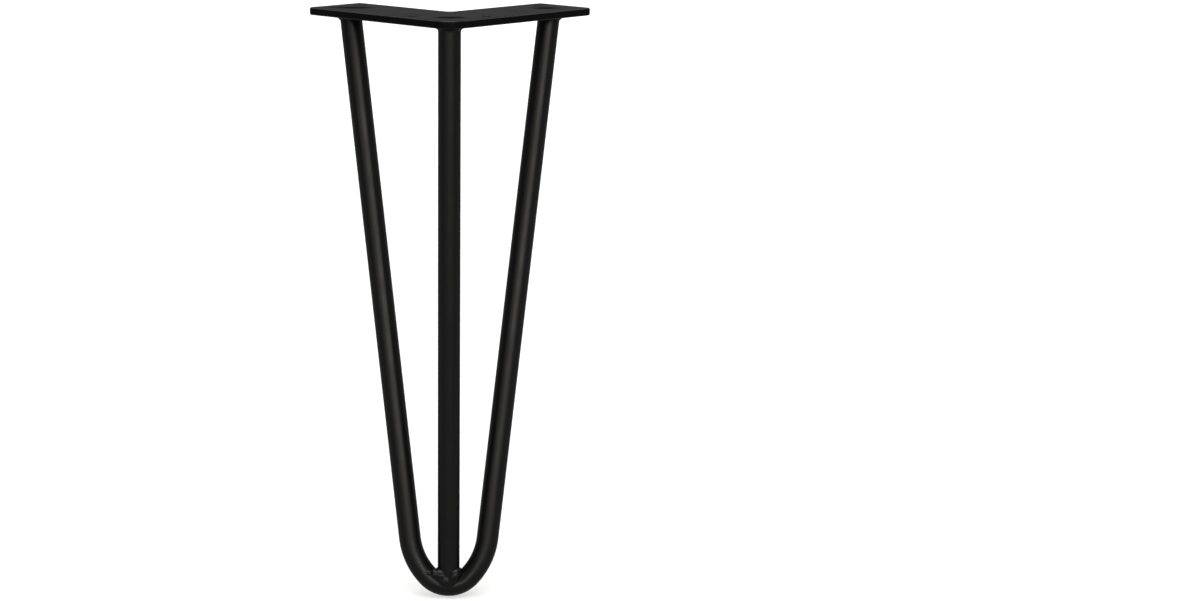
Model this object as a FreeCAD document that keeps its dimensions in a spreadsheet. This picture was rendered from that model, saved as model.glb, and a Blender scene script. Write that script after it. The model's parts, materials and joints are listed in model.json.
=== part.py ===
import FreeCAD, Part

import math
import os

import Sketcher

# A hairpin table leg: an L-shaped mounting plate, a round bar bent into a U that hangs from the two arm ends,
# a straight centre bar from the plate's corner down to the bend, and the weld beads between them.
# Millimetres, +Z up. The origin is on the plate's top face, where the centrelines of its two arms cross.
# The outer corner of the L points along -Y, and the leg is the same on both sides of the plane X = 0.

# Driving dimensions: name, value and what it measures.
SIZES = [
    ("leg_height", 316.0, "from the floor to the plate's top face"),
    ("plate_thickness", 4.2, "thickness of the coated plate"),
    ("arm_length", 109.2, "length of an arm's outer edge, from the corner of the L to the arm's end"),
    ("arm_width", 38.5, "width of each arm"),
    ("corner_radius", 12.0, "rounding of the outer corner of the L"),
    ("inner_radius", 2.5, "rounding of the inner corner of the L"),
    ("tip_radius", 2.5, "rounding of the corners at the arm ends"),
    ("edge_round", 1.0, "rounding of the plate's outer edges under the coat"),
    ("hole_diameter", 5.5, "diameter of the four screw holes"),
    ("hole_rim_round", 0.5, "rounding of the rims of the screw holes"),
    ("near_hole_along", 35.0, "near screw hole, from the corner of the L along the outer edge"),
    ("near_hole_edge", 8.0, "near screw hole, from the outer edge"),
    ("far_hole_end", 11.2, "far screw hole, from the arm's end"),
    ("far_hole_edge", 8.5, "far screw hole, from the inner edge"),
    ("bar_diameter", 12.0, "diameter of the coated bars"),
    ("bar_end_inset", 13.3, "axis of a side bar, from the arm's end along its centreline"),
    ("foot_offset", 12.2, "how far the foot lies in front of the origin"),
    ("bend_gap", 3.5, "gap between the centre bar and the inside of the bend, on each side"),
    ("bend_turn", 46.0, "turn of the tight bend on each side of the foot, in degrees"),
    ("shoulder_radius", 37.3, "radius of the gentler shoulder above the bend, at the bar's axis"),
    ("cope_height", 3.4, "height of the centre bar's square end above the foot's axis"),
    ("side_weld_reach", 4.4, "how far the weld at a side bar's head spreads outwards under the plate"),
    ("side_weld_fall", 3.3, "how far that weld runs down, at its buried lower end"),
    ("side_weld_shift", 2.4, "how far the axis of that weld lies outside the bar's axis"),
    ("centre_weld_reach", 3.9, "how far the weld round the centre bar's head spreads under the plate"),
    ("centre_weld_fall", 2.5, "how far that weld runs down, at its buried lower end"),
    ("head_weld_hollow", 6.0, "radius of the hollow face of the welds under the plate"),
    ("head_weld_root", 0.8, "how deep the lower ends of those welds are buried in the bars"),
    ("foot_bead_radius", 2.3, "radius of the foot weld's puddles at the front and the back of the joint"),
    ("foot_crotch_radius", 1.3, "radius of its puddles in the crotches on the left and the right"),
    ("foot_lobe_radius", 3.9, "radius of the two large lobes in the front of the foot weld"),
    ("foot_lobe_fill", 3.5, "radius of the pool between those lobes"),
    ("foot_lobe_stand", 0.9, "how far the lobes stand out in front of the bars"),
    ("foot_lobe_rise", 7.2, "height of the lobes above the foot's axis"),
    ("foot_lobe_spread", 4.2, "from the pool between the lobes to each lobe, along X"),
    ("foot_lobe_shift", 1.6, "how far that pool lies to the left of the centre bar's axis"),
    ("foot_tail_radius", 2.8, "radius of the puddle where the foot weld runs out on the bend"),
    ("foot_tail_sink", 1.7, "how deep the middle of that puddle lies in the bar"),
]

# Places and angles that follow from the driving dimensions: name, kind of value and formula.
LAYOUT = [
    ("bar_radius", "Float", "Sizes.bar_diameter / 2"),
    ("half_width", "Float", "Sizes.arm_width / 2"),
    ("arm_reach", "Float", "Sizes.arm_length - Sizes.arm_width / 2"),
    ("bar_out", "Float", "(Layout.arm_reach - Sizes.bar_end_inset) / sqrt(2)"),
    ("foot_depth", "Float", "Sizes.leg_height - Layout.bar_radius"),
    ("drop", "Float", "Layout.foot_depth - Sizes.plate_thickness"),
    ("bend_radius", "Float", "Sizes.bar_diameter + Sizes.bend_gap"),
    ("u_height", "Float", "hypot(Layout.bar_out + Sizes.foot_offset; Layout.drop)"),
    ("u_tilt", "Angle", "atan2(Layout.bar_out + Sizes.foot_offset; Layout.drop)"),
    ("centre_height", "Float", "hypot(Sizes.foot_offset; Layout.drop)"),
    ("centre_tilt", "Angle", "atan2(Sizes.foot_offset; Layout.drop)"),
    ("side_weld_top", "Float", "Layout.bar_radius + Sizes.side_weld_reach - Sizes.side_weld_shift"),
    ("side_weld_foot", "Float", "Layout.bar_radius - Sizes.head_weld_root - Sizes.side_weld_shift"),
    ("centre_weld_top", "Float", "Layout.bar_radius + Sizes.centre_weld_reach"),
    ("centre_weld_foot", "Float", "Layout.bar_radius - Sizes.head_weld_root"),
    ("lobe_back", "Float", "Sizes.foot_lobe_radius - Layout.bar_radius - Sizes.foot_lobe_stand"),
    ("tail_depth", "Float", "Layout.bar_radius - Sizes.foot_tail_sink"),
]

# The weld at the foot is a chain of puddles round the joint. Its front is a pad of two lobes with a pool between
# them, and a tail puddle on the left, where the bead runs out on the bend. The tail has its turn along the bend
# from the foot, and its lift from the bar's front line towards the inside of the bend, in degrees.
FOOT_PUDDLES = 20
TAIL_TURN = 52.0
TAIL_LIFT = 22.0

# The plate is drawn with its arms along the sketch's axes and turned by this angle, so that its corner faces -Y.
ARM_TURN = 45.0
X_AXIS = FreeCAD.Vector(1, 0, 0)
Z_AXIS = FreeCAD.Vector(0, 0, 1)
NEAR = 1e-4


def make_sheet(doc):
    """Write the driving dimensions into the spreadsheet, one row each."""
    sheet = doc.addObject("Spreadsheet::Sheet", "Sizes")
    for row, (name, value, meaning) in enumerate(SIZES, start=1):
        sheet.set(f"A{row}", name)
        sheet.set(f"B{row}", str(value))
        sheet.set(f"C{row}", meaning)
        sheet.setAlias(f"B{row}", name)
    doc.recompute()
    return sheet


def make_layout(doc):
    """Work out the places and angles that several pieces share."""
    layout = doc.addObject("App::VarSet", "Layout")
    for name, kind, formula in LAYOUT:
        layout.addProperty(f"App::Property{kind}", name, "Layout")
        layout.setExpression(name, formula)
        doc.recompute()
    return layout


def bind(target, formulas):
    """Tie properties of an object to the sheet."""
    for path, formula in formulas.items():
        target.setExpression(path, formula)


def add_sketch(body, plane_role, name, turn=0.0):
    """Add a sketch on one of the body's own origin planes."""
    plane = next(item for item in body.Origin.OriginFeatures if item.Role == plane_role)
    sketch = body.newObject("Sketcher::SketchObject", name)
    sketch.AttachmentSupport = [(plane, "")]
    sketch.MapMode = "FlatFace"
    sketch.AttachmentOffset = FreeCAD.Placement(FreeCAD.Vector(), FreeCAD.Rotation(Z_AXIS, turn))
    return sketch


def size_constraint(sketch, name, formula, *definition):
    """Add a dimension to a sketch and tie its value to the sheet."""
    index = sketch.addConstraint(Sketcher.Constraint(*definition))
    sketch.renameConstraint(index, name)
    sketch.setExpression(f"Constraints.{name}", formula)


def edge_names(shape, wanted):
    """Names of the edges of a shape that a test accepts."""
    return [f"Edge{number}" for number, edge in enumerate(shape.Edges, start=1) if wanted(edge)]


def upright_edges(shape, places):
    """Names of the upright edges that pass through any of the given (x, y) places."""
    def wanted(edge):
        first, last = edge.Vertexes[0].Point, edge.Vertexes[-1].Point
        upright = abs(first.x - last.x) + abs(first.y - last.y) < NEAR < abs(first.z - last.z)
        return upright and any(math.dist((first.x, first.y), place) < NEAR for place in places)
    return edge_names(shape, wanted)


def level_edges(shape):
    """Names of the edges that lie in the plate's top or bottom face."""
    top, bottom = shape.BoundBox.ZMax, shape.BoundBox.ZMin
    return edge_names(shape, lambda edge: any(
        abs(edge.BoundBox.ZMin - level) < NEAR and abs(edge.BoundBox.ZMax - level) < NEAR for level in (top, bottom)
    ))


def add_fillet(doc, body, base, name, edges, radius_formula):
    """Round some edges of a body's last feature."""
    fillet = body.newObject("PartDesign::Fillet", name)
    fillet.Base = (base, edges)
    fillet.setExpression("Radius", radius_formula)
    doc.recompute()
    return fillet


def turned(along, across):
    """Place in the plate's plane of a point given along the right arm and along the left arm."""
    cos_turn, sin_turn = math.cos(math.radians(ARM_TURN)), math.sin(math.radians(ARM_TURN))
    return (along * cos_turn - across * sin_turn, along * sin_turn + across * cos_turn)


def draw_outline(sketch, layout):
    """Draw the L: six straight edges round the two arms, the arms along the sketch's axes."""
    half, reach = layout.half_width, layout.arm_reach
    corners = [(-half, -half), (reach, -half), (reach, half), (half, half), (half, reach), (-half, reach)]
    for start, end in zip(corners, corners[1:] + corners[:1]):
        sketch.addGeometry(Part.LineSegment(FreeCAD.Vector(*start, 0), FreeCAD.Vector(*end, 0)))
    for edge in range(len(corners)):
        sketch.addConstraint(Sketcher.Constraint("Coincident", edge, 2, (edge + 1) % len(corners), 1))
        sketch.addConstraint(Sketcher.Constraint("Horizontal" if edge % 2 == 0 else "Vertical", edge))
    size_constraint(sketch, "outer_from_axis", "Layout.half_width", "DistanceY", 0, 1, -1, 1, half)
    size_constraint(sketch, "side_from_axis", "Layout.half_width", "DistanceX", 0, 1, -1, 1, half)
    size_constraint(sketch, "right_length", "Sizes.arm_length", "DistanceX", 0, 1, 0, 2, half + reach)
    size_constraint(sketch, "left_length", "Sizes.arm_length", "DistanceY", 0, 1, 4, 2, half + reach)
    size_constraint(sketch, "right_width", "Sizes.arm_width", "DistanceY", 1, 1, 1, 2, 2 * half)
    size_constraint(sketch, "left_width", "Sizes.arm_width", "DistanceX", 4, 2, 4, 1, 2 * half)


def draw_holes(sketch, sheet, layout):
    """Draw the four screw holes, a near one and a far one on each arm."""
    near_along = sheet.near_hole_along - layout.half_width
    near_across = sheet.near_hole_edge - layout.half_width
    far_along = layout.arm_reach - sheet.far_hole_end
    far_across = layout.half_width - sheet.far_hole_edge
    near_formulas = ("Sizes.near_hole_along - Layout.half_width", "Layout.half_width - Sizes.near_hole_edge")
    far_formulas = ("Layout.arm_reach - Sizes.far_hole_end", "Layout.half_width - Sizes.far_hole_edge")
    holes = [
        ("near_right", near_along, near_across, near_formulas),
        ("near_left", near_across, near_along, near_formulas),
        ("far_right", far_along, far_across, far_formulas),
        ("far_left", far_across, far_along, far_formulas),
    ]
    for circle, (name, along, across, (long_formula, short_formula)) in enumerate(holes):
        sketch.addGeometry(Part.Circle(FreeCAD.Vector(along, across, 0), Z_AXIS, sheet.hole_diameter / 2))
        size_constraint(sketch, f"{name}_size", "Sizes.hole_diameter", "Diameter", circle, sheet.hole_diameter)
        for axis, value in (("X", along), ("Y", across)):
            is_long = abs(value) == max(abs(along), abs(across))
            formula = long_formula if is_long else short_formula
            ends = (-1, 1, circle, 3) if value > 0 else (circle, 3, -1, 1)
            size_constraint(sketch, f"{name}_{axis}", formula, f"Distance{axis}", *ends, abs(value))


def make_mounting_plate(doc, sheet, layout):
    """Laser-cut L plate with rounded corners, softened edges and four screw holes."""
    body = doc.addObject("PartDesign::Body", "MountingPlate")
    outline = add_sketch(body, "XY_Plane", "PlateOutline", ARM_TURN)
    draw_outline(outline, layout)
    doc.recompute()
    pad = body.newObject("PartDesign::Pad", "PlateBlank")
    pad.Profile = outline
    pad.Reversed = True
    pad.setExpression("Length", "Sizes.plate_thickness")
    doc.recompute()

    half, reach = layout.half_width, layout.arm_reach
    tips = [turned(*tip) for tip in ((reach, -half), (reach, half), (half, reach), (-half, reach))]
    feature = pad
    for name, places, radius in (
        ("OuterCorner", [turned(-half, -half)], "Sizes.corner_radius"),
        ("InnerCorner", [turned(half, half)], "Sizes.inner_radius"),
        ("ArmEndCorners", tips, "Sizes.tip_radius"),
    ):
        feature = add_fillet(doc, body, feature, name, upright_edges(feature.Shape, places), radius)
    feature = add_fillet(doc, body, feature, "SoftEdges", level_edges(feature.Shape), "Sizes.edge_round")

    drilling = add_sketch(body, "XY_Plane", "ScrewHoles", ARM_TURN)
    draw_holes(drilling, sheet, layout)
    doc.recompute()
    before = feature.Shape.Volume
    holes = body.newObject("PartDesign::Pocket", "DrilledHoles")
    holes.Profile = drilling
    holes.Type = "ThroughAll"
    doc.recompute()
    hole_volume = 4 * math.pi * (sheet.hole_diameter / 2) ** 2 * sheet.plate_thickness
    if abs(before - holes.Shape.Volume - hole_volume) > 1e-3 * hole_volume:
        raise RuntimeError("the screw holes don't go through the plate")
    rims = edge_names(holes.Shape, lambda edge: edge.isClosed())
    add_fillet(doc, body, holes, "SoftRims", rims, "Sizes.hole_rim_round")
    body.Label = "mounting_plate"
    return body


def make_under_plate(doc):
    """The room below the plate: bars and beads are trimmed to it, so that they end flat on the plate."""
    room = doc.addObject("Part::Box", "RoomUnderPlate")
    bind(room, {
        "Length": "4 * Sizes.arm_length",
        "Width": "4 * Sizes.arm_length",
        "Height": "2 * Sizes.leg_height",
        "Placement.Base.x": "-2 * Sizes.arm_length",
        "Placement.Base.y": "-2 * Sizes.arm_length",
        "Placement.Base.z": "-Sizes.plate_thickness - 2 * Sizes.leg_height",
    })
    return room


def draw_bar_path(sketch, sheet, layout):
    """Draw the right half of the bar's axis: the tight bend, the shoulder and the straight side."""
    bend, shoulder = layout.bend_radius, sheet.shoulder_radius
    turn = math.radians(sheet.bend_turn)
    end_x, end_z = layout.bar_out, layout.u_height
    centre_x = (bend - shoulder) * math.sin(turn)
    centre_z = bend - (bend - shoulder) * math.cos(turn)
    # The straight side is the tangent from the bar's end to the shoulder's circle.
    away = math.hypot(end_x - centre_x, end_z - centre_z)
    side = math.atan2(end_z - centre_z, end_x - centre_x) + math.asin(shoulder / away)
    down = -math.pi / 2
    over = sheet.bar_diameter

    bend_circle = Part.Circle(FreeCAD.Vector(0, bend, 0), Z_AXIS, bend)
    shoulder_circle = Part.Circle(FreeCAD.Vector(centre_x, centre_z, 0), Z_AXIS, shoulder)
    start_x = centre_x + shoulder * math.sin(side)
    start_z = centre_z - shoulder * math.cos(side)
    past_x = end_x + over / math.tan(side)
    sketch.addGeometry(Part.ArcOfCircle(bend_circle, down, down + turn))
    sketch.addGeometry(Part.ArcOfCircle(shoulder_circle, down + turn, down + side))
    sketch.addGeometry(Part.LineSegment(
        FreeCAD.Vector(start_x, start_z, 0), FreeCAD.Vector(past_x, end_z + over, 0)
    ))
    end_point = sketch.addGeometry(Part.Point(FreeCAD.Vector(end_x, end_z, 0)), True)

    sketch.addConstraint(Sketcher.Constraint("Coincident", 0, 1, -1, 1))
    sketch.addConstraint(Sketcher.Constraint("PointOnObject", 0, 3, -2))
    sketch.addConstraint(Sketcher.Constraint("Tangent", 0, 2, 1, 1))
    sketch.addConstraint(Sketcher.Constraint("Tangent", 1, 2, 2, 1))
    sketch.addConstraint(Sketcher.Constraint("PointOnObject", end_point, 1, 2))
    size_constraint(sketch, "bend_radius", "Layout.bend_radius", "Radius", 0, bend)
    size_constraint(sketch, "shoulder_radius", "Sizes.shoulder_radius", "Radius", 1, shoulder)
    size_constraint(sketch, "bend_turn", "Sizes.bend_turn * 1 deg", "Angle", 0, turn)
    size_constraint(sketch, "end_out", "Layout.bar_out", "DistanceX", -1, 1, end_point, 1, end_x)
    size_constraint(sketch, "end_up", "Layout.u_height", "DistanceY", -1, 1, end_point, 1, end_z)
    size_constraint(sketch, "end_over", "Sizes.bar_diameter", "DistanceY", end_point, 1, 2, 2, over)


def make_hairpin_rod(doc, sheet, layout, under_plate):
    """One round bar bent into a U: a compound curve at the foot, its two ends mitred flat to the plate."""
    body = doc.addObject("PartDesign::Body", "BentBar")
    path = add_sketch(body, "XZ_Plane", "BarAxis")
    draw_bar_path(path, sheet, layout)
    section = add_sketch(body, "YZ_Plane", "BarSection")
    section.addGeometry(Part.Circle(FreeCAD.Vector(), Z_AXIS, layout.bar_radius))
    section.addConstraint(Sketcher.Constraint("Coincident", 0, 3, -1, 1))
    size_constraint(section, "bar_diameter", "Sizes.bar_diameter", "Diameter", 0, sheet.bar_diameter)
    doc.recompute()

    half = body.newObject("PartDesign::AdditivePipe", "RightHalf")
    half.Profile = section
    half.Spine = path
    doc.recompute()
    mirror_plane = next(item for item in body.Origin.OriginFeatures if item.Role == "YZ_Plane")
    whole = body.newObject("PartDesign::Mirrored", "BothHalves")
    whole.Originals = [half]
    whole.MirrorPlane = (mirror_plane, [""])
    body.Tip = whole
    body.Placement = FreeCAD.Placement(FreeCAD.Vector(), FreeCAD.Rotation(X_AXIS, 0))
    bind(body, {
        "Placement.Base.y": "-Sizes.foot_offset",
        "Placement.Base.z": "-Layout.foot_depth",
        "Placement.Rotation.Angle": "-Layout.u_tilt",
    })
    doc.recompute()

    rod = doc.addObject("Part::Common", "HairpinRod")
    rod.Base = body
    rod.Tool = under_plate
    rod.Label = "hairpin_rod"
    doc.recompute()
    return rod


def make_centre_rod(doc, under_plate, hairpin_rod):
    """Straight bar from the plate's corner to the foot, its lower end coped to sit on the bend."""
    blank = doc.addObject("Part::Cylinder", "CentreBar")
    blank.Placement = FreeCAD.Placement(FreeCAD.Vector(), FreeCAD.Rotation(X_AXIS, 0))
    bind(blank, {
        "Radius": "Layout.bar_radius",
        "Height": "Layout.centre_height - Sizes.cope_height + Sizes.bar_diameter",
        "Placement.Base.y": "-Sizes.foot_offset + Sizes.cope_height * sin(Layout.centre_tilt)",
        "Placement.Base.z": "-Layout.foot_depth + Sizes.cope_height * cos(Layout.centre_tilt)",
        "Placement.Rotation.Angle": "-Layout.centre_tilt",
    })
    trimmed = doc.addObject("Part::Common", "CentreBarUnderPlate")
    trimmed.Base = blank
    trimmed.Tool = under_plate
    rod = doc.addObject("Part::Cut", "CentreRod")
    rod.Base = trimmed
    rod.Tool = hairpin_rod
    rod.Label = "centre_rod"
    doc.recompute()
    return rod


def draw_weld_section(sketch, sheet, layout, place):
    """Draw half the section of a weld under the plate: flat at the plate, with a hollow face down to the bar."""
    top, low_end = getattr(layout, f"{place}_weld_top"), getattr(layout, f"{place}_weld_foot")
    fall, hollow = getattr(sheet, f"{place}_weld_fall"), sheet.head_weld_hollow
    across, down = top - low_end, fall
    chord = math.hypot(across, down)
    away = math.sqrt(hollow ** 2 - (chord / 2) ** 2)
    centre_x = (top + low_end) / 2 + away * down / chord
    centre_z = -fall / 2 - away * across / chord
    at_plate = math.atan2(-centre_z, top - centre_x)
    at_bar = math.atan2(-fall - centre_z, low_end - centre_x)

    axis_top, plate_end = FreeCAD.Vector(), FreeCAD.Vector(top, 0, 0)
    bar_end, axis_low = FreeCAD.Vector(low_end, -fall, 0), FreeCAD.Vector(0, -fall, 0)
    face = Part.Circle(FreeCAD.Vector(centre_x, centre_z, 0), Z_AXIS, hollow)
    sketch.addGeometry(Part.LineSegment(axis_top, plate_end))
    sketch.addGeometry(Part.ArcOfCircle(face, at_plate, at_bar))
    sketch.addGeometry(Part.LineSegment(bar_end, axis_low))
    sketch.addGeometry(Part.LineSegment(axis_low, axis_top))
    for line in range(4):
        sketch.addConstraint(Sketcher.Constraint("Coincident", line, 2, (line + 1) % 4, 1))
    sketch.addConstraint(Sketcher.Constraint("Coincident", 0, 1, -1, 1))
    sketch.addConstraint(Sketcher.Constraint("Horizontal", 0))
    sketch.addConstraint(Sketcher.Constraint("Horizontal", 2))
    sketch.addConstraint(Sketcher.Constraint("Vertical", 3))
    size_constraint(sketch, "at_plate", f"Layout.{place}_weld_top", "DistanceX", 0, 1, 0, 2, top)
    size_constraint(sketch, "at_bar", f"Layout.{place}_weld_foot", "DistanceX", 2, 2, 2, 1, low_end)
    size_constraint(sketch, "fall", f"Sizes.{place}_weld_fall", "DistanceY", 3, 1, 3, 2, fall)
    size_constraint(sketch, "hollow", "Sizes.head_weld_hollow", "Radius", 1, hollow)


def make_head_weld(doc, sheet, layout, name, place, bar, x_formula, y_formula):
    """The weld round a bar's head. place is side or centre, and the formulas give the weld's own axis."""
    body = doc.addObject("PartDesign::Body", f"{name}_turned")
    section = add_sketch(body, "XZ_Plane", f"{name}_section")
    draw_weld_section(section, sheet, layout, place)
    doc.recompute()
    run = body.newObject("PartDesign::Revolution", f"{name}_run")
    run.Profile = section
    run.ReferenceAxis = (section, ["V_Axis"])
    run.Angle = 360.0
    bind(body, {
        "Placement.Base.x": x_formula,
        "Placement.Base.y": y_formula,
        "Placement.Base.z": "-Sizes.plate_thickness",
    })
    doc.recompute()
    weld = doc.addObject("Part::Cut", f"{name}_seated")
    weld.Base = body
    weld.Tool = bar
    weld.Label = name
    doc.recompute()
    return weld


def make_side_weld(doc, sheet, layout, name, side, hairpin_rod):
    """The weld on the outside of a side bar's head, which fades out round the bar. side is -1 or 1, along X."""
    x_formula = f"{side} * (Layout.bar_out + Sizes.side_weld_shift)"
    return make_head_weld(doc, sheet, layout, name, "side", hairpin_rod, x_formula, "Layout.bar_out")


def add_puddle(doc, name, radius, tilt, across, back, rise, seam_turn=90.0):
    """A ball of weld at the foot. across is along X, back and rise are in a frame that leans by a tilt.

    The ball's seam is turned into the bars, where it is cut away with the rest of the ball's inside.
    """
    ball = doc.addObject("Part::Sphere", name)
    ball.Placement = FreeCAD.Placement(FreeCAD.Vector(), FreeCAD.Rotation(Z_AXIS, seam_turn))
    bind(ball, {
        "Radius": radius,
        "Placement.Base.x": across,
        "Placement.Base.y": f"-Sizes.foot_offset + ({back}) * cos({tilt}) + ({rise}) * sin({tilt})",
        "Placement.Base.z": f"-Layout.foot_depth + ({rise}) * cos({tilt}) - ({back}) * sin({tilt})",
    })
    return ball


def add_joint_puddle(doc, name, turn):
    """A puddle on the line where the centre bar meets the bend, at a turn round the bar from its right side."""
    bend, bar = "Layout.bend_radius", "Layout.bar_radius"
    on_bend = f"({bend} - sqrt({bend} ^ 2 - 2 * {bend} * {bar} * abs(cos({turn} deg))))"
    rise = f"hypot({on_bend}; Sizes.cope_height)"
    across, back = f"{bar} * cos({turn} deg)", f"{bar} * sin({turn} deg)"
    swell = f"(Sizes.foot_bead_radius - Sizes.foot_crotch_radius) * abs(sin({turn} deg))"
    radius = f"Sizes.foot_crotch_radius + {swell}"
    return add_puddle(doc, name, radius, "Layout.centre_tilt", across, back, rise, turn + 180.0)


def add_lobe(doc, name, radius, side):
    """A pool in the front pad, on the pad's left (-1), in its middle (0) or on its right (1)."""
    across = f"{side} * Sizes.foot_lobe_spread - Sizes.foot_lobe_shift"
    return add_puddle(doc, name, radius, "Layout.centre_tilt", across, "Layout.lobe_back", "Sizes.foot_lobe_rise")


def add_tail_puddle(doc):
    """The puddle on the bend at the pad's left end, half sunk in the bar."""
    reach = f"(Layout.bend_radius - Layout.tail_depth * sin({TAIL_LIFT} deg))"
    across = f"-{reach} * sin({TAIL_TURN} deg)"
    back = f"-Layout.tail_depth * cos({TAIL_LIFT} deg)"
    rise = f"Layout.bend_radius - {reach} * cos({TAIL_TURN} deg)"
    return add_puddle(doc, "foot_tail", "Sizes.foot_tail_radius", "Layout.u_tilt", across, back, rise)


def make_foot_weld(doc, centre_rod, hairpin_rod):
    """The lumpy weld where the centre bar sits on the bend."""
    step = 360.0 / FOOT_PUDDLES
    puddles = [add_joint_puddle(doc, f"foot_puddle_{count}", (count + 0.5) * step) for count in range(FOOT_PUDDLES)]
    puddles.append(add_lobe(doc, "foot_lobe_left", "Sizes.foot_lobe_radius", -1))
    puddles.append(add_lobe(doc, "foot_lobe_middle", "Sizes.foot_lobe_fill", 0))
    puddles.append(add_lobe(doc, "foot_lobe_right", "Sizes.foot_lobe_radius", 1))
    puddles.append(add_tail_puddle(doc))
    bead = doc.addObject("Part::MultiFuse", "foot_bead")
    bead.Shapes = puddles
    on_bend = doc.addObject("Part::Cut", "foot_bead_on_bend")
    on_bend.Base = bead
    on_bend.Tool = hairpin_rod
    weld = doc.addObject("Part::Cut", "foot_bead_seated")
    weld.Base = on_bend
    weld.Tool = centre_rod
    weld.Label = "weld_foot"
    doc.recompute()
    return weld


def check(doc, nodes):
    """Stop if any object failed, or if a piece isn't one whole valid solid."""
    for item in doc.Objects:
        if "Invalid" in item.State or "Error" in item.State:
            raise RuntimeError(f"{item.Name} failed: {item.State}")
    for node in nodes:
        shape = node.Shape
        if shape.isNull() or not shape.isValid() or len(shape.Solids) != 1:
            raise RuntimeError(f"{node.Label} is not one valid solid")
        box = shape.BoundBox
        print(
            f"{node.Label}: {shape.Volume:.1f} mm3, x {box.XMin:.2f} to {box.XMax:.2f}, "
            f"y {box.YMin:.2f} to {box.YMax:.2f}, z {box.ZMin:.2f} to {box.ZMax:.2f}"
        )


def main():
    """Build the leg and write each piece to its own file."""
    doc = FreeCAD.newDocument("HairpinLeg")
    sheet = make_sheet(doc)
    layout = make_layout(doc)
    under_plate = make_under_plate(doc)
    mounting_plate = make_mounting_plate(doc, sheet, layout)
    hairpin_rod = make_hairpin_rod(doc, sheet, layout, under_plate)
    centre_rod = make_centre_rod(doc, under_plate, hairpin_rod)
    nodes = [
        mounting_plate,
        hairpin_rod,
        centre_rod,
        make_side_weld(doc, sheet, layout, "weld_left", -1, hairpin_rod),
        make_side_weld(doc, sheet, layout, "weld_right", 1, hairpin_rod),
        make_head_weld(doc, sheet, layout, "weld_centre", "centre", centre_rod, "0", "0"),
        make_foot_weld(doc, centre_rod, hairpin_rod),
    ]
    doc.recompute()
    check(doc, nodes)
    os.makedirs("parts", exist_ok=True)
    for node in nodes:
        node.Shape.exportStep(f"parts/{node.Label}.step")


main()
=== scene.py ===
import json
import logging
import math
from dataclasses import dataclass, field
from enum import Enum

import bmesh
import bpy
from mathutils import Matrix, Vector, noise

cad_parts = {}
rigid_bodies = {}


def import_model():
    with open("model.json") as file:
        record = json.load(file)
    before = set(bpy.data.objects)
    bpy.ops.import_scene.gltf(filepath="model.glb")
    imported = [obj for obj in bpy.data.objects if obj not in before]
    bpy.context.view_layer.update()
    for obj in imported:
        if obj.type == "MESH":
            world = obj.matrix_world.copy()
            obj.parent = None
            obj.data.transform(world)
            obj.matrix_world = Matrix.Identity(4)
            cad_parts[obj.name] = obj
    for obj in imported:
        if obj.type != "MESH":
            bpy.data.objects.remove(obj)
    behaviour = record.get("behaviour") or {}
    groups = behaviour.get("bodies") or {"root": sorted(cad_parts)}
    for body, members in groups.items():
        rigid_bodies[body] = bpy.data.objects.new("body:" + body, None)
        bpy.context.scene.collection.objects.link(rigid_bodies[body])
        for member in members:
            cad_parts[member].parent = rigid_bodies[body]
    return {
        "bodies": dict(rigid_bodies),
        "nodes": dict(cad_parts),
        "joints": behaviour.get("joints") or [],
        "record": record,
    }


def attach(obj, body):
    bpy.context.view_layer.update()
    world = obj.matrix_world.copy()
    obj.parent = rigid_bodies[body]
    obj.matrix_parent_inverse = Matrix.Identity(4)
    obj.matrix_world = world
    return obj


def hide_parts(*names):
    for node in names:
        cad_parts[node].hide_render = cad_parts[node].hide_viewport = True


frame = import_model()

# A hairpin table leg in satin black powder coat, on a white floor. Metres, +Z up, in the frame of the CAD.
# The origin is on the plate's top face, where the centrelines of its two arms cross, and the plate's outer
# corner points at the camera, along -Y.

MM = 0.001
MERGE_DISTANCE = 1e-6
LEVEL_SLACK = 1e-7
ROUND_PROFILE = 0.5
CREASE = math.radians(40.0)
QUARTER_TURN = math.radians(90.0)
Colour = tuple[float, float, float]
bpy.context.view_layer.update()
log = logging.getLogger("hairpin_leg")


class Side(Enum):
    """The two sides of the leg, by the sign of X."""

    LEFT = -1
    RIGHT = 1


class Slot(Enum):
    """The record's material slots."""

    PLATE = "plate_coat"
    BAR = "bar_coat"
    WELD = "weld_coat"


class LampColour(Enum):
    """The colours of the studio's lamps."""

    WHITE = (1.0, 1.0, 1.0)
    WARM = (1.0, 0.955, 0.88)
    PALE = (1.0, 0.97, 0.91)
    REAR = (1.0, 0.96, 0.90)


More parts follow.
